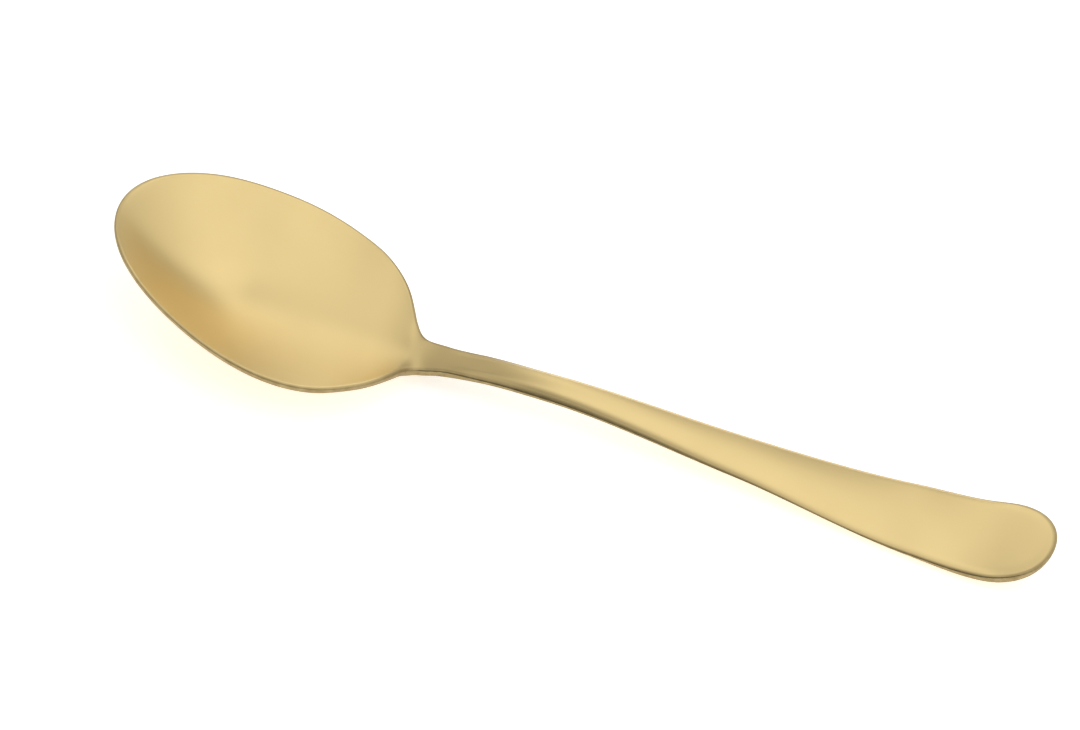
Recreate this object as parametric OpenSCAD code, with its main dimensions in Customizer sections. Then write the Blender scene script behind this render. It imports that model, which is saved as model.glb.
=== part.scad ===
// Teaspoon pressed from one piece of metal.
// A deep oval bowl runs through a narrow neck into a long crowned handle with a broad, blunt, upturned end.
// It lies face up on the table: the bowl points along -X, the handle along +X, and Z is up.

/* [Overall] */
// length from the tip of the bowl to the end of the handle
length = 138; // [128:1:150]

/* [Bowl outline] */
// length of the bowl, from the tip to where its oval would close at the neck
bowl_length = 44.5; // [41:0.1:52]
// width across the rim
bowl_width = 33.8; // [29:0.1:36]
// place of the widest part, as a share of the bowl's length from the tip
bowl_widest = 0.55; // [0.42:0.01:0.6]
// fullness of the oval towards the tip, 2 being an ellipse
tip_fullness = 1.88; // [1.7:0.02:2.4]
// fullness of the oval towards the neck, 2 being an ellipse
shoulder_fullness = 2; // [1.7:0.05:2.6]
// breadth of the fillet between the neck and the shoulders
neck_fillet = 3.5; // [1:0.1:5]

/* [Bowl hollow] */
// depth of the floor under the rim, where the bowl is deepest
bowl_depth = 7.2; // [5.5:0.1:8]
// place of the deepest part, as a share of the bowl's length from the tip
bowl_deepest = 0.45; // [0.38:0.01:0.52]
// shape of the floor's rise to the tip, 2 being a parabola
tip_scoop = 1.85; // [1.7:0.05:2.3]
// shape of the floor's rise to the neck, 2 being a parabola
heel_scoop = 1.6; // [1.3:0.05:2.2]
// shape of the bowl across, 2 being a parabola
bowl_section = 2.05; // [1.9:0.05:2.5]
// metal at the rim
rim_thickness = 1.15; // [0.8:0.05:1.4]
// metal in the bowl's floor
floor_thickness = 1.2; // [1:0.05:1.8]

/* [Neck] */
// width at the narrowest part
neck_width = 4.9; // [4:0.1:6]
// metal in the middle of the neck
neck_thickness = 2.6; // [2.2:0.1:3.8]
// metal at the neck's sides
neck_edge = 1.75; // [1.1:0.05:2]
// rise of the neck's top over its sides
neck_crown = 0.35; // [0.2:0.05:0.8]
// distance from the bowl to the top of the arch
arch_after_bowl = 18.7; // [15:0.1:23]

/* [Handle] */
// width half-way along the handle
handle_width = 7.9; // [6.5:0.1:10]
// width at the broad end
end_width = 14.6; // [12:0.1:17]
// distance of the broadest part from the end
broadest_before_end = 6.5; // [5:0.5:10]
// distance from the end to where the handle's back rests on the table
rest_before_end = 20; // [15:0.5:28]
// length of the rounded end
end_round = 10; // [7:0.5:12]
// bluntness of the end, 2 being an ellipse
end_blunt = 3.3; // [2:0.1:3.8]
// metal in the middle of the handle
handle_thickness = 2.1; // [1.6:0.1:2.6]
// metal at the handle's thin sides
handle_edge = 0.7; // [0.5:0.05:1]
// metal at the end
end_thickness = 1.9; // [1.3:0.1:2.3]
// rise of the handle's crowned top over the sides
crown = 0.75; // [0.4:0.05:1]

/* [Side profile] */
// height of the rim's edge at the tip
tip_height = 12.6; // [10:0.1:14.5]
// height of the rim near the tip
fore_height = 10.4; // [8.8:0.1:11.5]
// height of the rim behind its widest part
aft_height = 6.1; // [5.6:0.1:7.4]
// height of the rim at the shoulders
shoulder_height = 5.7; // [4.8:0.1:6.6]
// height of the rim where it turns down to the neck
turn_height = 4.8; // [4.2:0.1:6]
// height of the sides in the fillet between bowl and neck, their lowest part
dip_height = 2.6; // [2.2:0.1:4.4]
// height of the sides at the neck's foot
foot_height = 2.9; // [2.6:0.05:4.8]
// height of the sides at the narrowest part of the neck
neck_height = 3.95; // [3.3:0.05:6.5]
// height of the sides at the top of the arch
arch_height = 4.6; // [4:0.05:8]
// height of the sides half-way along the handle
handle_height = 2.9; // [2.4:0.1:5]
// height of the sides at the handle's broadest part
lift_height = 2.3; // [1.4:0.1:3]
// height of the sides at the upturned end
end_height = 5.1; // [3.4:0.1:6.5]

/* [Smoothness] */
// steps along each stretch of the length
steps = 14; // [8:1:16]
// steps from the middle of a section to its side
side_steps = 10; // [6:1:12]
// steps round each rolled edge
roll_steps = 6; // [2:1:6]

/* [Hidden] */
// places along the bowl, as distances from the tip
tip_zone = 0.24 * bowl_length;
fore_at = 0.24 * bowl_length;
deepest_at = bowl_deepest * bowl_length;
rim_at = 0.49 * bowl_length;
widest_at = bowl_widest * bowl_length;
aft_at = 0.735 * bowl_length;
shoulder_at = 0.86 * bowl_length;
turn_at = 0.935 * bowl_length;
root_at = 0.94 * bowl_length;
dip_at = 1.01 * bowl_length;

// places along the neck and handle
foot_at = 1.1 * bowl_length;
neck_at = 1.23 * bowl_length;
arch_at = bowl_length + arch_after_bowl;
handle_mid_at = arch_at + 0.38 * (length - arch_at);
taper_at = arch_at + 0.4 * (handle_mid_at - arch_at);
rest_at = length - rest_before_end;
broadest_at = length - broadest_before_end;
end_from = length - end_round;

// share of the oval's hind half after which the shoulders run on straight
oval_share = 0.93;
// widths of the neck under the shoulders and at its foot, as shares of its narrowest width
root_spread = 1.8;
foot_spread = 1.03;
// width of the handle where its end is cut round, as a share of the broadest width
end_share = 0.98;
// metal near the end, as shares of the metal at the handle's sides and at the end
rest_edge_share = 1.1;
broad_edge_share = 0.85;
broad_middle_share = 1.1;
// height in which the bowl's floor rounds over into the crowned neck
neck_blend = 1.2;

// depth of a rolled edge, as a share of its thickness
edge_roll = 0.4;
// fullness of a rolled edge, 2 being round
edge_fullness = 3.2;
// steepest slope that a rolled edge follows
steepest = 1;
// least half width left inside the rolled edges
least_half = 0.02;
// offset of the first and last sections, which keeps the tip and the end from closing to a point
nose = 0.04;
// more sections in the stretches that turn or run longest
neck_extra = 4;
handle_extra = 12;
gold = [0.83, 0.72, 0.45];

function clamp(t, low = 0, high = 1) = min(max(t, low), high);

// smooth step from 0 to 1
function ease(t) = let (u = clamp(t)) u * u * (3 - 2 * u);

// the lower of two heights, rounded where they cross
function soft_min(a, b, reach) =
    let (t = clamp(0.5 + 0.5 * (b - a) / reach))
    b + (a - b) * t - reach * t * (1 - t);

// the greater of two widths, with a fillet where they cross
function fillet(a, b, reach) = max(a, b) + pow(max(reach - abs(a - b), 0), 2) / (4 * reach);

// slope of the curve at knot i: the parabola through it and its neighbours
function secant(k, i) = (k[i + 1][1] - k[i][1]) / (k[i + 1][0] - k[i][0]);
function span(k, i) = k[i + 1][0] - k[i][0];
function inner_slope(k, i) =
    (secant(k, i - 1) * span(k, i) + secant(k, i) * span(k, i - 1)) / (span(k, i - 1) + span(k, i));
function slope(k, i) =
    i == 0 ? 2 * secant(k, 0) - inner_slope(k, 1)
    : i == len(k) - 1 ? 2 * secant(k, i - 1) - inner_slope(k, i - 1)
    : inner_slope(k, i);

// smooth curve through the knots [place, value]
function piece(k, x, i = 0) = i >= len(k) - 2 || x <= k[i + 1][0] ? i : piece(k, x, i + 1);
function curve(k, x) =
    let (
        i = piece(k, x),
        h = span(k, i),
        t = (x - k[i][0]) / h,
        t2 = t * t,
        t3 = t2 * t
    )
    (2 * t3 - 3 * t2 + 1) * k[i][1] + (t3 - 2 * t2 + t) * h * slope(k, i)
    + (3 * t2 - 2 * t3) * k[i + 1][1] + (t3 - t2) * h * slope(k, i + 1);

// half width of the neck and handle, with the rounded end
handle_knots = [
    [root_at, neck_width * root_spread / 2],
    [foot_at, neck_width * foot_spread / 2],
    [neck_at, neck_width / 2],
    [handle_mid_at, handle_width / 2],
    [broadest_at, end_width / 2],
    [length, end_width * end_share / 2],
];
function handle_half(x) =
    curve(handle_knots, max(x, root_at)) * sqrt(1 - pow(clamp((x - end_from) / end_round), end_blunt));

// half width of the bowl's oval, whose shoulders run on straight at its hind end
function oval_fore(t) = bowl_width / 2 * sqrt(1 - pow(t, tip_fullness));
function oval_aft(t) =
    let (
        bend = min(t, oval_share),
        round_off = sqrt(1 - pow(bend, shoulder_fullness)),
        fall = shoulder_fullness * pow(bend, shoulder_fullness - 1) / (2 * round_off)
    )
    bowl_width / 2 * (round_off - fall * (t - bend));

// half width of the whole outline: the oval of the bowl, filleted into the neck and handle
function half_width(x) =
    x < widest_at ? oval_fore((widest_at - x) / widest_at)
    : fillet(oval_aft((x - widest_at) / (bowl_length - widest_at)), handle_half(x), neck_fillet);

// thickness of the metal at the sides
edge_knots = [
    [0, rim_thickness],
    [rim_at, rim_thickness],
    [shoulder_at, (rim_thickness * 2 + neck_edge) / 3],
    [foot_at, neck_edge],
    [taper_at, (neck_edge + handle_edge) / 2],
    [handle_mid_at, handle_edge],
    [rest_at, handle_edge * rest_edge_share],
    [broadest_at, end_thickness * broad_edge_share],
    [length, end_thickness],
];
function edge_thickness(x) = curve(edge_knots, x);

// thickness of the metal along the middle
middle_knots = [
    [0, rim_thickness],
    [deepest_at, floor_thickness],
    [foot_at, neck_thickness],
    [handle_mid_at, handle_thickness],
    [broadest_at, end_thickness * broad_middle_share],
    [length, end_thickness],
];
function middle_thickness(x) = curve(middle_knots, x);

// heights of the sides over the deepest part of the bowl, and where the handle's back touches the table
rim_height = floor_thickness + bowl_depth - rim_thickness / 2;
rest_height = middle_thickness(rest_at) - crown - edge_thickness(rest_at) / 2;

// height of the side line: along the rim, down to the neck, over the arch, to the table and up at the end
side_knots = [
    [0, tip_height],
    [fore_at, fore_height],
    [rim_at, rim_height],
    [aft_at, aft_height],
    [shoulder_at, shoulder_height],
    [turn_at, turn_height],
    [dip_at, dip_height],
    [foot_at, foot_height],
    [neck_at, neck_height],
    [arch_at, arch_height],
    [handle_mid_at, handle_height],
    [rest_at, rest_height],
    [broadest_at, lift_height],
    [length, end_height],
];
function side_height(x) = curve(side_knots, x);

// height of the crowned neck and handle along the middle
crown_knots = [
    [foot_at, neck_crown],
    [neck_at, neck_crown],
    [handle_mid_at, crown],
    [rest_at, crown],
];
function crown_line(x) =
    side_height(x) + edge_thickness(x) / 2
    + curve(crown_knots, clamp(x, foot_at, rest_at)) * (1 - ease((x - rest_at) / rest_before_end));

// height of the top along the middle: the scooped floor, its rise to the neck, then the crowned handle
tip_from = edge_roll * rim_thickness;
tip_top = side_height(tip_from) + rim_thickness / 2;
function top_line(x) =
    let (
        fore = (deepest_at - x) / (deepest_at - tip_from),
        aft = (x - deepest_at) / (foot_at - deepest_at)
    )
    x < deepest_at ? floor_thickness + (tip_top - floor_thickness) * pow(fore, tip_scoop)
    : soft_min(
        floor_thickness + (crown_line(foot_at) - floor_thickness) * pow(aft, heel_scoop),
        crown_line(x),
        neck_blend
    );

// places of the sections, close together at the tip, the shoulders and the end
places = [
    for (i = [0 : steps]) tip_zone * (1 - cos(90 * i / steps)),
    for (i = [1 : steps]) tip_zone + (shoulder_at - tip_zone) * i / steps,
    for (i = [1 : steps + neck_extra]) shoulder_at + (foot_at - shoulder_at) * i / (steps + neck_extra),
    for (i = [1 : steps + handle_extra]) foot_at + (end_from - foot_at) * i / (steps + handle_extra),
    for (i = [1 : steps]) end_from + end_round * sin(90 * i / steps),
];
last = len(places) - 1;
function outline(i) =
    let (x = places[i])
    [x, half_width(clamp(x, nose, length - nose))];

// direction straight out of the outline, in plan
function outward(i) =
    let (
        a = i == 0 ? [places[1], -outline(1)[1]] : outline(i - 1),
        b = i == last ? [places[last - 1], -outline(last - 1)[1]] : outline(i + 1),
        d = b - a
    )
    [-d[1], d[0]] / norm(d);

// one closed section: the top, the rolled left edge, the underside and the rolled right edge
// a rolled edge follows the slope of the top or the underside where that leads outwards to it
function section(i) =
    let (
        rim = outline(i),
        out = outward(i),
        e = edge_thickness(rim[0]),
        roll = min(e * edge_roll, rim[1] / 2),
        inner = rim - roll * out,
        x = clamp(inner[0], 0, length),
        w = max(inner[1], least_half),
        side = side_height(x),
        sink = side + e / 2 - top_line(x),
        swell = sink + middle_thickness(x) - e,
        fall = clamp(bowl_section * sink / w, -steepest, 0) * out[1],
        rise = clamp(bowl_section * swell / w, 0, steepest) * out[1],
        waist = (fall + rise) * roll / 2,
        reach = (e + (fall - rise) * roll) / 2,
        across = [for (j = [-side_steps : side_steps]) sin(90 * j / side_steps)],
        edge = [
            for (k = [1 : roll_steps - 1])
                let (
                    a = 90 - 180 * k / roll_steps,
                    far = roll * pow(cos(a), 2 / edge_fullness),
                    lift = sign(a) * pow(abs(sin(a)), 2 / edge_fullness),
                    lean = (a > 0 ? fall : rise) * (far - roll),
                    p = inner + far * out
                )
                [p[0], p[1], side_height(p[0]) + waist + reach * lift + lean]
        ]
    )
    [
        for (v = across) [x, v * w, side + e / 2 - sink * (1 - pow(abs(v), bowl_section))],
        for (p = edge) p,
        for (v = across) [x, -v * w, side - e / 2 - swell * (1 - pow(abs(v), bowl_section))],
        for (k = [len(edge) - 1 : -1 : 0]) [edge[k][0], -edge[k][1], edge[k][2]],
    ];

sections = [for (i = [0 : last]) section(i)];
ring = len(sections[0]);
ground = min([for (s = sections) min([for (p = s) p[2]])]);

// the whole spoon as one skin through its sections
module teaspoon() {
    points = [for (s = sections) for (p = s) p];
    walls = [
        for (i = [0 : last - 1])
            for (j = [0 : ring - 1])
                let (
                    k = (j + 1) % ring,
                    a = i * ring + j,
                    b = i * ring + k
                )
                for (face = [[a, b, b + ring], [a, b + ring, a + ring]]) face,
    ];
    tip_cap = [for (j = [ring - 1 : -1 : 0]) j];
    end_cap = [for (j = [0 : ring - 1]) last * ring + j];
    color(gold)
    translate([-length / 2, 0, -ground])
    polyhedron(points, concat(walls, [tip_cap, end_cap]), convexity = 6);
}

teaspoon();
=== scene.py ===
"""Looks of the teaspoon: one piece of satin gold metal, on a plain pale floor in soft studio light."""

import bisect
import math

import bmesh
import bpy
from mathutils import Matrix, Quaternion, Vector


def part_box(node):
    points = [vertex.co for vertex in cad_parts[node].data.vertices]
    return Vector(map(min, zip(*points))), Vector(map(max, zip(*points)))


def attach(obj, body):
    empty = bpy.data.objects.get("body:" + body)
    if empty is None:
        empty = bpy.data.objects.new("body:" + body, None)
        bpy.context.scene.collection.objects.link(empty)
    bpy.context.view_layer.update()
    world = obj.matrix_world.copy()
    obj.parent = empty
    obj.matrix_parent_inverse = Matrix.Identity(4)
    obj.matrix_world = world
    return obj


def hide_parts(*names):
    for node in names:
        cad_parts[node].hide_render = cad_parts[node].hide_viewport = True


bl_info = {
    "name": "Teaspoon in satin gold",
    "version": (1, 0, 0),
    "blender": (4, 5, 0),
    "location": "View3D > Sidebar > Teaspoon",
    "description": "Builds the teaspoon with its satin gold finish, and a plain studio round it",
    "category": "Object",
}

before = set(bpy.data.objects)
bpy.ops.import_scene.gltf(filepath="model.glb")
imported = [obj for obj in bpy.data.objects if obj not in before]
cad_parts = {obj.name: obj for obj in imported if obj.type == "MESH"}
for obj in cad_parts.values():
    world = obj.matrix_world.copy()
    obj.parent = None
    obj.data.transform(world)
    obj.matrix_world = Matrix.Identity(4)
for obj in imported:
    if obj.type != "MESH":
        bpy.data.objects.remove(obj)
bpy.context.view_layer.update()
SPOON_LOW, SPOON_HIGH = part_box("teaspoon")
MM = 0.001
# points of the mesh that lie closer than this become one
MERGE = 0.001 * MM
# painted shade on an edge, a deeper tone standing in for the shade there: its share at the top of the roll,
# and how fast it fades at the underside
EDGE_PAINTED_SHADE_START = 0.6
EDGE_PAINTED_SHADE_FADE = 4.0
# the satin: share of the streaks in the grain's height and in the gloss, and the strength of the grain
STREAK_HEIGHT = 0.35
STREAK_GLOSS = 0.3
GRAIN_STRENGTH = 0.25
# the slow change of gloss: patches per metre, and the range of the pattern that it uses
CLOUDS_PER_METRE = 90.0
CLOUD_FROM, CLOUD_TO = 0.4, 0.9
# the wear of the edges: patches per metre, range of the pattern, amount, and roughness that it takes away
WEAR_PER_METRE = 700.0
WEAR_FROM, WEAR_TO = 0.3, 0.7
WEAR_AMOUNT = 0.25
WEAR_POLISH = 0.12
# soft lights: name, azimuth and elevation in degrees, width and height in metres, watts
LIGHTS = (
    ("back_softbox", 155, 62, (0.5, 0.5), 0.13),
    ("low_back_softbox", 196, 28, (0.6, 0.45), 0.32),
    ("right_softbox", 65, 45, (0.5, 0.5), 0.25),
    ("left_softbox", 290, 48, (0.7, 0.7), 0.24),
)
# from the lights to the middle of the spoon, in metres
LIGHT_DISTANCE = 0.7
# dark patches of the room: azimuth, elevation, inner and outer radius in degrees, share of the light kept
DARK_PATCHES = (
    (355, 18, 28, 55, 0.12),
    (206, 56, 5, 25, 0.52),
    (158, 8, 6, 30, 0.4),
)
# cosine of the angle from the bright side at which the room reaches its dim level
ROOM_DIMMEST = -0.2
# half the floor's side in metres
FLOOR_HALF = 2.0
# the camera: width of its film in millimetres, and the nearest thing that it sees in metres
SENSOR_WIDTH = 36.0
CLIP_START = 0.01


def size_of(label, what, millimetres):
    """A length that a user may change, given in millimetres and kept in metres."""
    return bpy.props.FloatProperty(
        name=label, description=what, default=millimetres * MM, min=0.0, precision=5, unit="LENGTH"
    )


def share_of(label, what, value):
    """A plain number that a user may change."""
    return bpy.props.FloatProperty(name=label, description=what, default=value, min=0.0, precision=3)


def count_of(label, what, value):
    """A number of steps that a user may change."""
    return bpy.props.IntProperty(name=label, description=what, default=value, min=2)


def angle_of(label, what, degrees):
    """An angle that a user may change, given in degrees and kept in radians."""
    return bpy.props.FloatProperty(
        name=label, description=what, default=math.radians(degrees), subtype="ANGLE"
    )


def colour_of(label, what, value):
    """A colour that a user may change."""
    return bpy.props.FloatVectorProperty(
        name=label, description=what, default=value, size=4, min=0.0, max=1.0, subtype="COLOR"
    )


class SpoonSizes(bpy.types.PropertyGroup):
    """Outline, heights and thicknesses of the spoon."""

    length: size_of(
        "Length", "From the tip of the bowl to the end of the handle", (SPOON_HIGH.x - SPOON_LOW.x) / MM
    )
    bowl_length: size_of(
        "Bowl length", "From the tip to where the bowl's oval would close at the neck", 44.5
    )
    bowl_width: size_of("Bowl width", "Across the rim", 33.8)
    bowl_widest: share_of("Widest at", "Place of the widest part, as a share of the bowl's length", 0.55)
    tip_fullness: share_of(
        "Tip fullness", "Roundness of the oval towards the tip, 2 being an ellipse", 1.88
    )
    shoulder_fullness: share_of(
        "Shoulder fullness", "Roundness of the oval towards the neck, 2 being an ellipse", 2.0
    )
    neck_fillet: size_of("Neck fillet", "Breadth of the fillet between neck and shoulders", 3.5)
    bowl_depth: size_of("Bowl depth", "Depth of the plain solid's floor under the rim", 7.2)
    bowl_raise: size_of("Bowl raise", "Height of the bowl's inside over the plain solid's floor", 2.0)
    bowl_deepest: share_of(
        "Deepest at", "Place of the deepest part, as a share of the bowl's length", 0.45
    )
    tip_scoop: share_of("Tip scoop", "Shape of the floor's rise to the tip, 2 being a parabola", 1.85)
    heel_scoop: share_of("Heel scoop", "Shape of the floor's rise to the neck, 2 being a parabola", 1.6)
    section: share_of("Section", "Shape of the metal across, 2 being a parabola", 2.05)
    bowl_flare: share_of("Bowl flare", "Straightness of the bowl's inner walls, 0 being a parabola", 2.2)
    rim_thickness: size_of("Rim", "Metal at the rim", 1.15)
    floor_thickness: size_of("Bowl floor", "Metal in the plain solid's bowl floor", 1.2)
    neck_width: size_of("Neck width", "Width at the narrowest part", 4.9)
    neck_thickness: size_of("Neck", "Metal in the middle of the neck", 2.6)
    neck_edge: size_of("Neck sides", "Metal at the neck's sides", 1.75)
    neck_crown: size_of("Neck crown", "Rise of the neck's top over its sides", 0.35)
    arch_after_bowl: size_of("Arch", "From the bowl to the top of the arch", 18.7)
    handle_width: size_of("Handle width", "Width half-way along the handle", 7.9)
    end_width: size_of("End width", "Width at the broad end", 14.6)
    broadest_before_end: size_of("Broadest", "Distance of the broadest part from the end", 6.5)
    rest_before_end: size_of("Rest", "From the end to where the handle's back rests", 20.0)
    end_round: size_of("End round", "Length of the rounded end", 10.0)
    end_blunt: share_of("End bluntness", "Bluntness of the end, 2 being an ellipse", 3.3)
    handle_thickness: size_of("Handle", "Metal in the middle of the handle", 2.1)
    handle_edge: size_of("Handle sides", "Metal at the handle's thin sides", 0.7)
    end_thickness: size_of("End", "Metal at the end", 1.9)
    crown: size_of("Crown", "Rise of the handle's top over its sides", 0.65)
    tip_height: size_of("Tip height", "Height of the rim's edge at the tip", 12.5)
    fore_height: size_of("Fore height", "Height of the rim near the tip", 10.4)
    aft_height: size_of("Aft height", "Height of the rim behind its widest part", 6.1)
    shoulder_height: size_of("Shoulder height", "Height of the rim at the shoulders", 5.7)
    turn_height: size_of("Turn height", "Height of the rim where it turns down to the neck", 4.8)
    dip_height: size_of("Dip height", "Height of the sides in the fillet, their lowest part", 2.6)
    foot_height: size_of("Foot height", "Height of the sides at the neck's foot", 2.9)
    neck_height: size_of("Neck height", "Height of the sides at the narrowest part of the neck", 3.95)
    arch_height: size_of("Arch height", "Height of the sides at the top of the arch", 4.6)
    handle_height: size_of("Handle height", "Height of the sides half-way along the handle", 2.9)
    lift_height: size_of("Lift height", "Height of the sides at the handle's broadest part", 2.3)
    end_height: size_of("End height", "Height of the sides at the upturned end", 5.1)
    edge_square: share_of("Edge squareness", "Shape of the edges, 2 being round and 4 nearly square", 4.2)
    side_brow: size_of("Side brow", "Width of the soft fall of the handle's top towards its sides", 0.9)
    side_drop: size_of("Side drop", "Fall of the top at the handle's sides", 0.2)
    end_brow: size_of("End brow", "Width of the soft fall of the top towards the end's edge", 1.6)
    end_drop: size_of("End drop", "Fall of the top at the end's edge", 0.1)
    rows: count_of("Rows", "Rows of faces along the spoon", 168)
    columns: count_of("Columns", "Columns of faces across the spoon", 24)
    edge_steps: count_of("Edge steps", "Rows of faces round the rolled edge", 10)


class SatinFinish(bpy.types.PropertyGroup):
    """Colour and surface of the satin gold."""

    gold: colour_of("Gold", "Colour of the coating", (0.9, 0.7, 0.332, 1.0))
    # Painted shade on the rolled edges: a deeper colour standing in for the shade there.
    edge: colour_of(
        "Edge gold", "Deeper colour of the coating on the rolled edges", (0.32, 0.235, 0.105, 1.0)
    )
    # Painted shade in the neck: a deeper colour standing in for the shade there.
    neck: colour_of("Neck gold", "Deeper colour of the coating in the neck", (0.56, 0.43, 0.2, 1.0))
    worn: colour_of("Worn gold", "Colour where handling has polished the edges", (0.9, 0.73, 0.4, 1.0))
    roughness: share_of("Roughness", "Gloss of the satin, 0 being a mirror", 0.42)
    roughness_spread: share_of("Roughness spread", "How much the satin varies over the spoon", 0.04)
    grain_size: size_of("Grain size", "Size of the fine satin grain", 0.16)
    streak_length: size_of("Streak length", "Length of the faint brushed streaks", 6.0)
    grain_depth: size_of("Grain depth", "Depth of the satin grain", 0.002)


class StudioSetup(bpy.types.PropertyGroup):
    """Camera, floor and light."""

    azimuth: angle_of("Azimuth", "Turn of the camera round the spoon", -4.003)
    elevation: angle_of("Elevation", "Height of the camera as an angle", 47.16)
    roll: angle_of("Roll", "Turn of the camera about its own line of sight", 20.403)
    distance: size_of("Distance", "From the camera to the point that it looks at", 531.1)
    lens: bpy.props.FloatProperty(name="Lens", description="Focal length", default=128.33, unit="CAMERA")
    target: bpy.props.FloatVectorProperty(
        name="Target",
        description="Point that the camera looks at",
        default=(-7.38 * MM, 0.0, 8.41 * MM),
        precision=5,
        subtype="TRANSLATION",
    )
    floor_colour: colour_of("Floor", "Colour of the floor", (0.9, 0.9, 0.9, 1.0))
    floor_lift: share_of("Floor lift", "Light added to the floor as the camera and the metal see it", 0.6)
    dim_level: share_of("Dim side", "Brightness of the room on its dim side", 0.2)
    bright_level: share_of("Bright side", "Brightness of the room on its bright side", 0.95)
    bright_azimuth: angle_of("Bright azimuth", "Turn of the bright side round the spoon", 140)
    bright_elevation: angle_of("Bright elevation", "Height of the bright side as an angle", 72)


class Curve:
    """Smooth line through a few knots of place and value."""

    def __init__(self, *knots):
        self.places = [place for place, _ in knots]
        self.values = [value for _, value in knots]
        spans = [b - a for a, b in zip(self.places, self.places[1:])]
        secants = [(b - a) / span for a, b, span in zip(self.values, self.values[1:], spans)]
        inner = [
            (secants[i - 1] * spans[i] + secants[i] * spans[i - 1]) / (spans[i - 1] + spans[i])
            for i in range(1, len(spans))
        ]
        self.slopes = [2 * secants[0] - inner[0], *inner, 2 * secants[-1] - inner[-1]]

    def __call__(self, x):
        """Value at a place. Past the outermost knots, the outermost stretch runs on."""
        i = min(max(bisect.bisect_right(self.places, x) - 1, 0), len(self.places) - 2)
        span = self.places[i + 1] - self.places[i]
        t = (x - self.places[i]) / span
        rise = t * t * (3 - 2 * t)
        return (
            self.values[i] * (1 - rise)
            + self.values[i + 1] * rise
            + span * t * (1 - t) * ((1 - t) * self.slopes[i] - t * self.slopes[i + 1])
        )


def clamp(t):
    """The value held between 0 and 1."""
    return min(max(t, 0.0), 1.0)


def ease(t):
    """Smooth step from 0 to 1."""
    t = clamp(t)
    return t * t * (3 - 2 * t)


def soft_min(a, b, reach):
    """The lower of two heights, rounded where they cross."""
    share = clamp(0.5 + 0.5 * (b - a) / reach)
    return b + (a - b) * share - reach * share * (1 - share)


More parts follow.
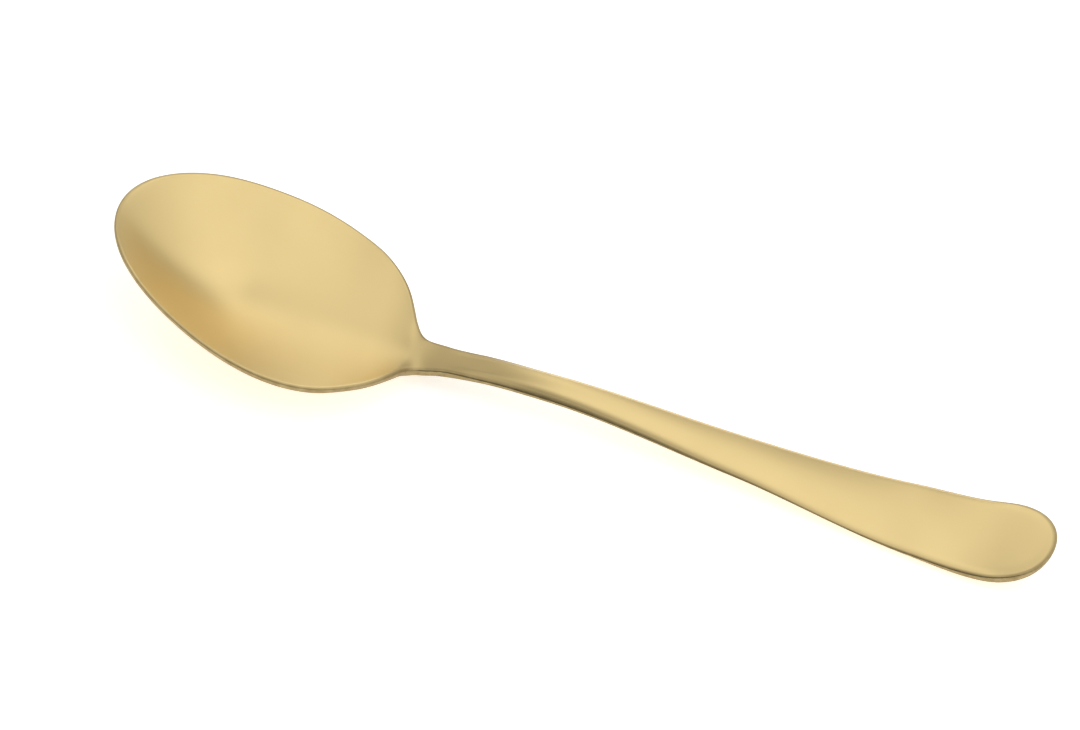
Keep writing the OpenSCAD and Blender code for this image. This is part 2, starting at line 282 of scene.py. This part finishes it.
class SpoonForm:
    """Plan outline and heights of the spoon. x runs from the tip of the bowl, y from the middle line."""

    # places along the bowl and the handle, as shares of their lengths
    FORE, RIM, AFT, SHOULDER, TURN = 0.24, 0.49, 0.735, 0.86, 0.935
    ROOT, DIP, FOOT, NECK = 0.94, 1.01, 1.1, 1.23
    HANDLE_MID, TAPER = 0.38, 0.4
    # share of the oval's hind half after which the shoulders run on straight
    OVAL_END = 0.93
    # widths of the neck under the shoulders and at its foot, as shares of its narrowest width
    ROOT_SPREAD, FOOT_SPREAD = 1.8, 1.03
    # depth of a rolled edge, as a share of its thickness
    EDGE_ROLL = 0.4
    # metal at the sides where the back rests, as a share of the handle's thin sides
    REST_EDGE = 1.1
    # metal at the sides and in the middle of the broadest part, as shares of the end's
    BROAD_EDGE, BROAD_MIDDLE = 0.85, 1.1
    # half width of the handle at its very end before it is rounded, as a share of the end's width
    END_HALF = 0.49
    # end of the neck's painted shade, a deeper tone, and length of its fade, in lengths of the bowl
    NECK_TONE_END, NECK_TONE_FADE = 1.5, 0.25
    # share of the rounded end over which the sides' soft fall turns into the end's
    BROW_TURN = 0.5
    # half widths of the outermost rows at the tip and at the end, as shares of the full ones
    TIP_CORNER, END_CORNER = 0.5, 0.72
    # step for measuring the slope of the outline, and halvings in a search for a place
    PROBE, HALVINGS = 0.05 * MM, 50
    # smallest slope that a distance is divided by
    TINY = 1e-9
    # stretch over which the bowl's floor rounds into the crowned neck, in height
    NECK_BLEND = 1.2 * MM

    def __init__(self, sizes):
        s = self.sizes = sizes
        bowl = s.bowl_length
        arch_at = bowl + s.arch_after_bowl
        mid_at = arch_at + self.HANDLE_MID * (s.length - arch_at)
        taper_at = arch_at + self.TAPER * (mid_at - arch_at)
        broadest_at = s.length - s.broadest_before_end
        self.root_at = self.ROOT * bowl
        self.foot_at = self.FOOT * bowl
        self.deepest_at = s.bowl_deepest * bowl
        self.widest_at = s.bowl_widest * bowl
        self.rest_at = s.length - s.rest_before_end
        self.end_from = s.length - s.end_round
        self.edge = Curve(
            (0.0, s.rim_thickness),
            (self.RIM * bowl, s.rim_thickness),
            (self.SHOULDER * bowl, (2 * s.rim_thickness + s.neck_edge) / 3),
            (self.foot_at, s.neck_edge),
            (taper_at, (s.neck_edge + s.handle_edge) / 2),
            (mid_at, s.handle_edge),
            (self.rest_at, self.REST_EDGE * s.handle_edge),
            (broadest_at, self.BROAD_EDGE * s.end_thickness),
            (s.length, s.end_thickness),
        )
        self.middle = Curve(
            (0.0, s.rim_thickness),
            (self.deepest_at, s.floor_thickness),
            (self.foot_at, s.neck_thickness),
            (mid_at, s.handle_thickness),
            (broadest_at, self.BROAD_MIDDLE * s.end_thickness),
            (s.length, s.end_thickness),
        )
        rim_height = s.floor_thickness + s.bowl_depth - s.rim_thickness / 2
        rest_height = self.middle(self.rest_at) - s.crown - self.edge(self.rest_at) / 2
        self.side = Curve(
            (0.0, s.tip_height),
            (self.FORE * bowl, s.fore_height),
            (self.RIM * bowl, rim_height),
            (self.AFT * bowl, s.aft_height),
            (self.SHOULDER * bowl, s.shoulder_height),
            (self.TURN * bowl, s.turn_height),
            (self.DIP * bowl, s.dip_height),
            (self.foot_at, s.foot_height),
            (self.NECK * bowl, s.neck_height),
            (arch_at, s.arch_height),
            (mid_at, s.handle_height),
            (self.rest_at, rest_height),
            (broadest_at, s.lift_height),
            (s.length, s.end_height),
        )
        self.handle = Curve(
            (self.root_at, s.neck_width / 2 * self.ROOT_SPREAD),
            (self.foot_at, s.neck_width / 2 * self.FOOT_SPREAD),
            (self.NECK * bowl, s.neck_width / 2),
            (mid_at, s.handle_width / 2),
            (broadest_at, s.end_width / 2),
            (s.length, self.END_HALF * s.end_width),
        )
        self.crowned = Curve(
            (self.foot_at, s.neck_crown),
            (self.NECK * bowl, s.neck_crown),
            (mid_at, s.crown),
            (self.rest_at, s.crown),
        )
        self.tip_from = self.EDGE_ROLL * self.edge(0.0)
        self.end_to = s.length - self.EDGE_ROLL * self.edge(s.length)

    def roll(self, x):
        """Depth of the rolled edge, measured in plan."""
        return self.EDGE_ROLL * self.edge(x)

    def outer(self, x):
        """Half width behind the widest part: the oval's shoulders, filleted into the neck and handle."""
        s = self.sizes
        aft = (x - self.widest_at) / (s.bowl_length - self.widest_at)
        bend = min(aft, self.OVAL_END)
        round_off = math.sqrt(1 - bend**s.shoulder_fullness)
        fall = s.shoulder_fullness * bend ** (s.shoulder_fullness - 1) / (2 * round_off)
        oval = s.bowl_width / 2 * (round_off - fall * (aft - bend))
        handle = self.handle(max(x, self.root_at))
        near = max(s.neck_fillet - abs(oval - handle), 0.0)
        return max(oval, handle) + near**2 / (4 * s.neck_fillet)

    def half(self, x):
        """Half width of the top inside the rolled edges."""
        s = self.sizes
        if x < self.widest_at:
            fore = (self.widest_at - x) / (self.widest_at - self.tip_from)
            return (s.bowl_width / 2 - self.roll(x)) * math.sqrt(max(1 - fore**s.tip_fullness, 0.0))
        ahead, behind = self.outer(x + self.PROBE), self.outer(max(x - self.PROBE, self.widest_at))
        lean = (ahead - behind) / (2 * self.PROBE)
        rounding = math.sqrt(max(1 - self.end_share(x) ** s.end_blunt, 0.0))
        return (self.outer(x) - self.roll(x) * math.hypot(1.0, lean)) * rounding

    def end_share(self, x):
        """How far into the rounded end a place lies, from 0 to 1."""
        return clamp((x - self.end_from) / (self.end_to - self.end_from))

    def place_of(self, half, inside, outside):
        """Place between the two given ones where the top has this half width."""
        for _ in range(self.HALVINGS):
            middle = (inside + outside) / 2
            if self.half(middle) > half:
                inside = middle
            else:
                outside = middle
        return (inside + outside) / 2

    def neck_painted_shade(self, x):
        """How much of the neck's painted shade, a deeper tone, a place has, from 0 to 1."""
        along = x / self.sizes.bowl_length
        start = ease((along - self.SHOULDER) / (self.FOOT - self.SHOULDER))
        return start * ease((self.NECK_TONE_END - along) / self.NECK_TONE_FADE)

    def crown_line(self, x):
        """Height of a crowned top along the middle."""
        s = self.sizes
        crown = self.crowned(min(max(x, self.foot_at), self.rest_at))
        return self.side(x) + self.edge(x) / 2 + crown * (1 - ease((x - self.rest_at) / s.rest_before_end))

    def top_line(self, x):
        """Height of the top along the middle: scooped floor, rise through the neck, crowned handle."""
        s = self.sizes
        low = s.floor_thickness
        if x < self.deepest_at:
            fore = (self.deepest_at - x) / (self.deepest_at - self.tip_from)
            tip_top = self.side(self.tip_from) + self.edge(self.tip_from) / 2
            return low + (tip_top - low) * fore**s.tip_scoop
        aft = (x - self.deepest_at) / (self.foot_at - self.deepest_at)
        floor = low + (self.crown_line(self.foot_at) - low) * aft**s.heel_scoop
        return soft_min(floor, self.crown_line(x), self.NECK_BLEND)

    def raised(self, x):
        """Height of the bowl's inside over the plain solid, along the middle."""
        s = self.sizes
        if x < self.deepest_at:
            fore = (self.deepest_at - x) / (self.deepest_at - self.tip_from)
            return s.bowl_raise * max(1 - fore**s.tip_scoop, 0.0)
        return s.bowl_raise * (1 - ease((x - self.deepest_at) / (self.foot_at - self.deepest_at)))

    def share_across(self, x, y):
        """How far from the middle line to the rolled edge a point lies, from 0 to 1."""
        half = self.half(x)
        return clamp(abs(y) / half) if half > 0 else 1.0

    def brow(self, x, y):
        """Soft fall of the handle's top towards its sides and towards the edge of its broad end."""
        s = self.sizes
        weight = ease((x - self.foot_at) / (self.NECK * s.bowl_length - self.foot_at))
        if weight == 0:
            return 0.0
        to_end = ease((x - self.end_from) / (self.BROW_TURN * s.end_round))
        width = s.side_brow + (s.end_brow - s.side_brow) * to_end
        drop = s.side_drop + (s.end_drop - s.side_drop) * to_end
        half = self.outer(x) - self.roll(x)
        inset = self.end_share(x)
        level = inset**s.end_blunt + (y / half) ** 2
        along = s.end_blunt * inset ** (s.end_blunt - 1) / (self.end_to - self.end_from)
        across = 2 * y / half**2
        distance = max(1 - level, 0.0) / max(math.hypot(along, across), self.TINY)
        return drop * weight * max(1 - distance / width, 0.0) ** 2

    def hollow(self, x, y):
        """Share of the top's full depth over a point: flared walls in the bowl, a plain curve behind it."""
        s = self.sizes
        share = self.share_across(x, y)
        plain = share**s.section
        at_rim, at_point = math.hypot(1.0, s.bowl_flare), math.hypot(1.0, s.bowl_flare * share)
        flared = share**2 * (at_rim + 1) / (at_point + 1)
        weight = ease((self.foot_at - x) / (self.foot_at - self.AFT * s.bowl_length))
        return 1 - plain - (flared - plain) * weight

    def top(self, x, y):
        """Height of the top over a point of the plan."""
        rim = self.side(x) + self.edge(x) / 2
        return rim - (rim - self.top_line(x) - self.raised(x)) * self.hollow(x, y) - self.brow(x, y)

    def under(self, x, y):
        """Height of the underside over a point of the plan."""
        edge = self.edge(x)
        sink = self.side(x) + edge / 2 - self.top_line(x)
        hollow = 1 - self.share_across(x, y) ** self.sizes.section
        return self.side(x) - edge / 2 - (sink + self.middle(x) - edge) * hollow

    def rolled(self, x, y, out, turn):
        """Point of the rolled edge beside (x, y), with turn from 1 at the top to -1 at the underside."""
        depth = self.roll(x)
        step = depth / 2
        back = (x - step * out.x, y - step * out.y)
        top_edge = self.top(x, y)
        under_edge = self.under(x, y)
        fall = min((top_edge - self.top(*back)) / step, 0.0)
        rise = max((under_edge - self.under(*back)) / step, 0.0)
        waist = (top_edge + under_edge + (fall + rise) * depth) / 2
        reach = (top_edge - under_edge + (fall - rise) * depth) / 2
        angle = turn * math.pi / 2
        power = 2 / self.sizes.edge_square
        far = depth * max(math.cos(angle), 0.0) ** power
        lift = math.copysign(abs(math.sin(angle)) ** power, turn) if turn else 0.0
        lean = (fall if turn > 0 else rise) * (far - depth)
        out_x = x + far * out.x
        return out_x, y + far * out.y, waist + reach * lift + lean + self.side(out_x) - self.side(x)


def spoon_rows(form, rows):
    """Places of the rows along the spoon's sides, closer together at the tip, the neck and the end."""
    s = form.sizes
    tip_half = form.TIP_CORNER * form.half(form.widest_at)
    end_half = form.END_CORNER * form.handle(s.length)
    tip_corner = form.place_of(tip_half, form.widest_at, form.tip_from)
    end_corner = form.place_of(end_half, form.end_from, form.end_to)
    # each stretch: where it ends and its share of the rows
    stretches = (
        (form.SHOULDER * s.bowl_length, 0.26),
        (form.NECK * s.bowl_length, 0.26),
        (form.end_from, 0.4),
        (end_corner, 0.08),
    )
    places = [tip_corner]
    for end, share in stretches:
        start = places[-1]
        count = round(rows * share)
        places += [start + (end - start) * (i + 1) / count for i in range(count)]
    return places


def sheet_point(form, places, row, across):
    """Plan of one point of the top: rows bow round the tip and round the end, and run straight between."""
    s = form.sizes
    tip_corner, end_corner = places[0], places[-1]
    at = places[row]
    x, y = at, across * form.half(at)
    tip_bow = 1 - (at - tip_corner) / (form.widest_at - tip_corner)
    end_bow = 1 - (end_corner - at) / (s.end_round + s.rest_before_end)
    if tip_bow > 0:
        on_tip = form.place_of(abs(across) * form.half(tip_corner), tip_corner, form.tip_from)
        x -= tip_bow**2 * (tip_corner - on_tip)
    if end_bow > 0:
        on_end = form.place_of(abs(across) * form.half(end_corner), end_corner, form.end_to)
        x += end_bow**2 * (on_end - end_corner)
    return x, y


def outward(before, after):
    """Direction straight out of a clockwise outline, in plan."""
    along = after - before
    return Vector((-along.y, along.x)).normalized()


def border_keys(rows, columns):
    """Rows and columns of the points round the top's border, in order."""
    keys = [(row, columns) for row in range(rows)]
    keys += [(rows, column) for column in range(columns, 0, -1)]
    keys += [(row, 0) for row in range(rows, 0, -1)]
    return keys + [(0, column) for column in range(columns)]


def edge_painted_shade(share):
    """Amount of the edges' painted shade, a deeper tone, at a share of the way round the roll, from the
    top.
    """
    return min(EDGE_PAINTED_SHADE_START + share, 1.0, EDGE_PAINTED_SHADE_FADE * (1 - share))


def roll_edge(bm, form, plan, grid, keys):
    """Rolls the top's border over to the underside, by extruding it ring by ring."""
    station = bm.verts.layers.int["station"]
    rim = bm.verts.layers.float["rim"]
    steps = form.sizes.edge_steps
    points = [Vector(plan[key]) for key in keys]
    outs = [outward(points[i - 1], points[(i + 1) % len(points)]) for i in range(len(points))]
    for i, key in enumerate(keys):
        grid[key][station] = i
    edges = [bm.edges.get((grid[key], grid[keys[i - 1]])) for i, key in enumerate(keys)]
    for step in range(1, steps + 1):
        share = step / steps
        made = bmesh.ops.extrude_edge_only(bm, edges=edges)["geom"]
        ring = {item for item in made if isinstance(item, bmesh.types.BMVert)}
        made_edges = [item for item in made if isinstance(item, bmesh.types.BMEdge)]
        edges = [edge for edge in made_edges if ring.issuperset(edge.verts)]
        for vert in ring:
            i = vert[station]
            vert.co = form.rolled(*points[i], outs[i], 1 - 2 * share)
            # the rim layer holds the amount of the edges' painted shade, which also masks their wear
            vert[rim] = edge_painted_shade(share)


def spoon_mesh(sizes):
    """The spoon's skin: a sheet for the top, its edge rolled over, and a sheet for the underside."""
    form = SpoonForm(sizes)
    places = spoon_rows(form, sizes.rows)
    rows, columns = len(places) - 1, sizes.columns
    bm = bmesh.new()
    bm.verts.layers.int.new("station")
    bm.verts.layers.float.new("rim")
    bm.verts.layers.float.new("neck")
    bmesh.ops.create_grid(bm, x_segments=rows, y_segments=columns, size=1.0)
    plan, grid = {}, {}
    for vert in bm.verts:
        row = round((vert.co.x + 1) / 2 * rows)
        column = round((vert.co.y + 1) / 2 * columns)
        across = math.sin(math.pi / 2 * (2 * column / columns - 1))
        plan[row, column] = sheet_point(form, places, row, across)
        grid[row, column] = vert
    under = bmesh.ops.duplicate(bm, geom=bm.verts[:] + bm.edges[:] + bm.faces[:])["vert_map"]
    for key, vert in grid.items():
        x, y = plan[key]
        vert.co = (x, y, form.top(x, y))
        under[vert].co = (x, y, form.under(x, y))
    roll_edge(bm, form, plan, grid, border_keys(rows, columns))
    # the neck layer holds the share of the neck's painted shade
    neck = bm.verts.layers.float["neck"]
    for vert in bm.verts:
        vert[neck] = form.neck_painted_shade(vert.co.x)
    bmesh.ops.remove_doubles(bm, verts=bm.verts[:], dist=MERGE)
    bmesh.ops.recalc_face_normals(bm, faces=bm.faces[:])
    lowest = min(vert.co.z for vert in bm.verts)
    bmesh.ops.translate(bm, verts=bm.verts[:], vec=(SPOON_LOW.x, 0.0, SPOON_LOW.z - lowest))
    for face in bm.faces:
        face.smooth = True
    mesh = bpy.data.meshes.new("teaspoon_skin")
    bm.to_mesh(mesh)
    bm.free()
    return mesh


def node(tree, kind, place, **values):
    """One node of a tree, with its settings or the values of its inputs."""
    made = tree.nodes.new(kind)
    made.location = place
    for name, value in values.items():
        if hasattr(made, name):
            setattr(made, name, value)
        else:
            made.inputs[name.replace("_", " ")].default_value = value
    return made


def new_group(name, takes, gives):
    """An empty shader group with named sockets, and its two ends."""
    tree = bpy.data.node_groups.new(name, "ShaderNodeTree")
    for label, kind in takes:
        tree.interface.new_socket(name=label, in_out="INPUT", socket_type=kind)
    for label, kind in gives:
        tree.interface.new_socket(name=label, in_out="OUTPUT", socket_type=kind)
    return tree, node(tree, "NodeGroupInput", (-900, 0)), node(tree, "NodeGroupOutput", (700, 0))


def satin_grain_group():
    """Fine matt grain crossed by faint streaks along the spoon: its height, and a slow change of gloss."""
    tree, source, sink = new_group(
        "Satin grain",
        (
            ("Vector", "NodeSocketVector"),
            ("Grain per metre", "NodeSocketFloat"),
            ("Streak", "NodeSocketVector"),
            ("Cloud per metre", "NodeSocketFloat"),
        ),
        (("Height", "NodeSocketFloat"), ("Gloss", "NodeSocketFloat")),
    )
    link = tree.links.new
    grain = node(tree, "ShaderNodeTexNoise", (-500, 200), Detail=2.0, Roughness=0.6)
    stretch = node(tree, "ShaderNodeVectorMath", (-700, -50), operation="MULTIPLY")
    streak = node(tree, "ShaderNodeTexNoise", (-500, -50), Scale=1.0, Detail=3.0, Roughness=0.5)
    cloud = node(tree, "ShaderNodeTexNoise", (-500, -300), Detail=3.0, Roughness=0.55)
    height = node(tree, "ShaderNodeMath", (-200, 150), operation="MULTIPLY_ADD")
    height.inputs[1].default_value = STREAK_HEIGHT
    gloss = node(tree, "ShaderNodeMath", (-200, -200), operation="MULTIPLY_ADD")
    gloss.inputs[1].default_value = STREAK_GLOSS
    link(source.outputs["Vector"], grain.inputs["Vector"])
    link(source.outputs["Grain per metre"], grain.inputs["Scale"])
    link(source.outputs["Vector"], stretch.inputs[0])
    link(source.outputs["Streak"], stretch.inputs[1])
    link(stretch.outputs[0], streak.inputs["Vector"])
    link(source.outputs["Vector"], cloud.inputs["Vector"])
    link(source.outputs["Cloud per metre"], cloud.inputs["Scale"])
    link(streak.outputs[0], height.inputs[0])
    link(grain.outputs[0], height.inputs[2])
    link(streak.outputs[0], gloss.inputs[0])
    link(cloud.outputs[0], gloss.inputs[2])
    link(height.outputs[0], sink.inputs["Height"])
    link(gloss.outputs[0], sink.inputs["Gloss"])
    return tree


def edge_wear_group():
    """Polish that handling leaves along the edges, broken up by a fine pattern."""
    tree, source, sink = new_group(
        "Edge wear",
        (
            ("Vector", "NodeSocketVector"),
            ("Edge", "NodeSocketFloat"),
            ("Patches per metre", "NodeSocketFloat"),
            ("Amount", "NodeSocketFloat"),
        ),
        (("Mask", "NodeSocketFloat"),),
    )
    link = tree.links.new
    patches = node(tree, "ShaderNodeTexNoise", (-500, 100), Detail=4.0, Roughness=0.6)
    spread = node(tree, "ShaderNodeMapRange", (-250, 100))
    spread.inputs["From Min"].default_value = WEAR_FROM
    spread.inputs["From Max"].default_value = WEAR_TO
    worn = node(tree, "ShaderNodeMath", (50, 0), operation="MULTIPLY")
    amount = node(tree, "ShaderNodeMath", (300, 0), operation="MULTIPLY", use_clamp=True)
    link(source.outputs["Vector"], patches.inputs["Vector"])
    link(source.outputs["Patches per metre"], patches.inputs["Scale"])
    link(patches.outputs[0], spread.inputs["Value"])
    link(spread.outputs[0], worn.inputs[0])
    link(source.outputs["Edge"], worn.inputs[1])
    link(worn.outputs[0], amount.inputs[0])
    link(source.outputs["Amount"], amount.inputs[1])
    link(amount.outputs[0], sink.inputs["Mask"])
    return tree


def satin_gold(finish):
    """Satin gold: fine grain, a slow change of gloss, painted shade as a deeper tone on edges and neck, and
    worn edges.
    """
    material = bpy.data.materials.new("satin_gold")
    material.use_nodes = True
    tree = material.node_tree
    tree.nodes.clear()
    link = tree.links.new
    output = node(tree, "ShaderNodeOutputMaterial", (900, 0))
    metal = node(tree, "ShaderNodeBsdfPrincipled", (600, 0), Metallic=1.0)
    places = node(tree, "ShaderNodeTexCoord", (-900, 0))
    rim = node(tree, "ShaderNodeAttribute", (-900, -300), attribute_name="rim")
    neck = node(tree, "ShaderNodeAttribute", (-900, -500), attribute_name="neck")
    grain = node(tree, "ShaderNodeGroup", (-600, 100), node_tree=satin_grain_group())
    across = 1 / finish.grain_size
    grain.inputs["Grain per metre"].default_value = across
    grain.inputs["Streak"].default_value = (1 / finish.streak_length, across, across)
    grain.inputs["Cloud per metre"].default_value = CLOUDS_PER_METRE
    wear = node(tree, "ShaderNodeGroup", (-600, -250), node_tree=edge_wear_group())
    wear.inputs["Patches per metre"].default_value = WEAR_PER_METRE
    wear.inputs["Amount"].default_value = WEAR_AMOUNT
    # painted shade: deeper colours on the neck and on the rolled edges stand in for the shade there
    deep = node(tree, "ShaderNodeMix", (-200, 300), data_type="RGBA")
    deep.inputs["A"].default_value = finish.gold
    deep.inputs["B"].default_value = finish.neck
    edge = node(tree, "ShaderNodeMix", (0, 150), data_type="RGBA")
    edge.inputs["B"].default_value = finish.edge
    tone = node(tree, "ShaderNodeMix", (200, 150), data_type="RGBA")
    tone.inputs["B"].default_value = finish.worn
    gloss = node(tree, "ShaderNodeMapRange", (-200, 0))
    gloss.inputs["From Min"].default_value = CLOUD_FROM
    gloss.inputs["From Max"].default_value = CLOUD_TO
    gloss.inputs["To Min"].default_value = finish.roughness - finish.roughness_spread
    gloss.inputs["To Max"].default_value = finish.roughness + finish.roughness_spread
    polish = node(tree, "ShaderNodeMath", (200, -100), operation="MULTIPLY_ADD")
    polish.inputs[1].default_value = -WEAR_POLISH
    bump = node(tree, "ShaderNodeBump", (200, -350), Strength=GRAIN_STRENGTH)
    bump.inputs["Distance"].default_value = finish.grain_depth
    for group in (grain, wear):
        link(places.outputs["Object"], group.inputs["Vector"])
    link(rim.outputs["Fac"], wear.inputs["Edge"])
    link(neck.outputs["Fac"], deep.inputs["Factor"])
    link(deep.outputs["Result"], edge.inputs["A"])
    link(rim.outputs["Fac"], edge.inputs["Factor"])
    link(edge.outputs["Result"], tone.inputs["A"])
    link(wear.outputs["Mask"], tone.inputs["Factor"])
    link(tone.outputs["Result"], metal.inputs["Base Color"])
    link(grain.outputs["Gloss"], gloss.inputs["Value"])
    link(wear.outputs["Mask"], polish.inputs[0])
    link(gloss.outputs[0], polish.inputs[2])
    link(polish.outputs[0], metal.inputs["Roughness"])
    link(grain.outputs["Height"], bump.inputs["Height"])
    link(bump.outputs["Normal"], metal.inputs["Normal"])
    link(metal.outputs[0], output.inputs["Surface"])
    return material


class TEASPOON_OT_spoon(bpy.types.Operator):
    """Builds the spoon with its satin gold finish, in place of the plain solid"""

    bl_idname = "teaspoon.spoon"
    bl_label = "Build the spoon"

    def execute(self, context):
        spoon = bpy.data.objects.new("teaspoon_body", spoon_mesh(context.scene.spoon_sizes))
        context.scene.collection.objects.link(spoon)
        spoon.data.materials.append(satin_gold(context.scene.satin_finish))
        smooth = spoon.modifiers.new("Smooth skin", "SUBSURF")
        smooth.levels = smooth.render_levels = 1
        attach(spoon, "root")
        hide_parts("teaspoon")
        return {"FINISHED"}


def floor_material(studio):
    """Plain pale floor, lifted to white for the camera and the metal, that still takes a shadow."""
    material = bpy.data.materials.new("pale_floor")
    material.use_nodes = True
    tree = material.node_tree
    tree.nodes.clear()
    link = tree.links.new
    output = node(tree, "ShaderNodeOutputMaterial", (600, 0))
    matt = node(tree, "ShaderNodeBsdfDiffuse", (0, 150), Color=studio.floor_colour)
    path = node(tree, "ShaderNodeLightPath", (-700, -100))
    seen = node(tree, "ShaderNodeMath", (-450, -100), operation="ADD")
    shown = node(tree, "ShaderNodeMath", (-250, -100), operation="ADD", use_clamp=True)
    strength = node(tree, "ShaderNodeMath", (-50, -100), operation="MULTIPLY")
    strength.inputs[1].default_value = studio.floor_lift
    glow = node(tree, "ShaderNodeEmission", (150, -100))
    both = node(tree, "ShaderNodeAddShader", (400, 0))
    link(path.outputs["Is Camera Ray"], seen.inputs[0])
    link(path.outputs["Is Glossy Ray"], seen.inputs[1])
    link(seen.outputs[0], shown.inputs[0])
    link(path.outputs["Is Transmission Ray"], shown.inputs[1])
    link(shown.outputs[0], strength.inputs[0])
    link(strength.outputs[0], glow.inputs["Strength"])
    link(matt.outputs[0], both.inputs[0])
    link(glow.outputs[0], both.inputs[1])
    link(both.outputs[0], output.inputs["Surface"])
    return material


def direction(azimuth, elevation):
    """Unit vector to a place round the spoon: azimuth 0 is the camera's side, 90 degrees the end's."""
    level = math.cos(elevation)
    return Vector((math.sin(azimuth) * level, -math.cos(azimuth) * level, math.sin(elevation)))


def studio_room(studio):
    """Room that is bright above and behind the spoon and dim on the camera's side."""
    world = bpy.data.worlds.new("studio_room")
    world.use_nodes = True
    tree = world.node_tree
    link = tree.links.new
    room = tree.nodes["Background"]
    room.inputs["Color"].default_value = (1.0, 1.0, 1.0, 1.0)
    places = node(tree, "ShaderNodeTexCoord", (-800, 0))
    facing = node(tree, "ShaderNodeVectorMath", (-600, 0), operation="DOT_PRODUCT")
    facing.inputs[1].default_value = direction(studio.bright_azimuth, studio.bright_elevation)
    level = node(tree, "ShaderNodeMapRange", (-400, 0))
    level.inputs["From Min"].default_value = ROOM_DIMMEST
    level.inputs["To Min"].default_value = studio.dim_level
    level.inputs["To Max"].default_value = studio.bright_level
    link(places.outputs["Generated"], facing.inputs[0])
    link(facing.outputs["Value"], level.inputs["Value"])
    strength = level.outputs[0]
    for azimuth, elevation, inner, outer, share in DARK_PATCHES:
        toward = node(tree, "ShaderNodeVectorMath", (-600, -250), operation="DOT_PRODUCT")
        toward.inputs[1].default_value = direction(math.radians(azimuth), math.radians(elevation))
        kept = node(tree, "ShaderNodeMapRange", (-400, -250), interpolation_type="SMOOTHSTEP")
        kept.inputs["From Min"].default_value = math.cos(math.radians(outer))
        kept.inputs["From Max"].default_value = math.cos(math.radians(inner))
        kept.inputs["To Min"].default_value = 1.0
        kept.inputs["To Max"].default_value = share
        both = node(tree, "ShaderNodeMath", (-200, 0), operation="MULTIPLY")
        link(places.outputs["Generated"], toward.inputs[0])
        link(toward.outputs["Value"], kept.inputs["Value"])
        link(strength, both.inputs[0])
        link(kept.outputs[0], both.inputs[1])
        strength = both.outputs[0]
    link(strength, room.inputs["Strength"])
    return world


class TEASPOON_OT_stage(bpy.types.Operator):
    """Adds the pale floor, the soft lights and the camera"""

    bl_idname = "teaspoon.stage"
    bl_label = "Set the stage"

    def execute(self, context):
        scene = context.scene
        studio = scene.studio_setup
        bm = bmesh.new()
        bmesh.ops.create_grid(bm, x_segments=1, y_segments=1, size=FLOOR_HALF)
        mesh = bpy.data.meshes.new("pale_floor")
        bm.to_mesh(mesh)
        bm.free()
        floor = bpy.data.objects.new("floor", mesh)
        floor.data.materials.append(floor_material(studio))
        scene.collection.objects.link(floor)
        for name, azimuth, elevation, size, watts in LIGHTS:
            place = direction(math.radians(azimuth), math.radians(elevation)) * LIGHT_DISTANCE
            light = bpy.data.lights.new(name, "AREA")
            light.shape = "RECTANGLE"
            light.size, light.size_y = size
            light.energy = watts
            lamp = bpy.data.objects.new(name, light)
            lamp.location = place
            lamp.rotation_euler = (-place).to_track_quat("-Z", "Y").to_euler()
            scene.collection.objects.link(lamp)
        scene.world = studio_room(studio)
        data = bpy.data.cameras.new("camera")
        data.lens = studio.lens
        data.sensor_width = SENSOR_WIDTH
        data.clip_start = CLIP_START
        camera = bpy.data.objects.new("camera", data)
        back = direction(studio.azimuth, studio.elevation)
        camera.location = Vector(studio.target) + back * studio.distance
        camera.rotation_mode = "QUATERNION"
        level = (-back).to_track_quat("-Z", "Y")
        camera.rotation_quaternion = level @ Quaternion((0.0, 0.0, 1.0), studio.roll)
        scene.collection.objects.link(camera)
        scene.camera = camera
        scene.view_settings.view_transform = "Standard"
        return {"FINISHED"}


class TEASPOON_PT_sidebar(bpy.types.Panel):
    """The spoon's operators and settings"""

    bl_idname = "TEASPOON_PT_sidebar"
    bl_label = "Teaspoon"
    bl_space_type = "VIEW_3D"
    bl_region_type = "UI"
    bl_category = "Teaspoon"

    def draw(self, context):
        layout = self.layout
        for kind in (TEASPOON_OT_spoon, TEASPOON_OT_stage):
            layout.operator(kind.bl_idname)
        scene = context.scene
        for group in (scene.spoon_sizes, scene.satin_finish, scene.studio_setup):
            box = layout.box()
            for name in group.bl_rna.properties.keys():
                if name not in ("rna_type", "name"):
                    box.prop(group, name)


CLASSES = (
    SpoonSizes,
    SatinFinish,
    StudioSetup,
    TEASPOON_OT_spoon,
    TEASPOON_OT_stage,
    TEASPOON_PT_sidebar,
)


def register():
    """Adds the classes and the scene's settings."""
    for kind in CLASSES:
        bpy.utils.register_class(kind)
    bpy.types.Scene.spoon_sizes = bpy.props.PointerProperty(type=SpoonSizes)
    bpy.types.Scene.satin_finish = bpy.props.PointerProperty(type=SatinFinish)
    bpy.types.Scene.studio_setup = bpy.props.PointerProperty(type=StudioSetup)


def unregister():
    """Takes the settings and the classes away again."""
    del bpy.types.Scene.studio_setup
    del bpy.types.Scene.satin_finish
    del bpy.types.Scene.spoon_sizes
    for kind in reversed(CLASSES):
        bpy.utils.unregister_class(kind)


def main():
    """Builds the spoon on its stage."""
    register()
    bpy.ops.teaspoon.spoon()
    bpy.ops.teaspoon.stage()


if __name__ == "__main__":
    main()
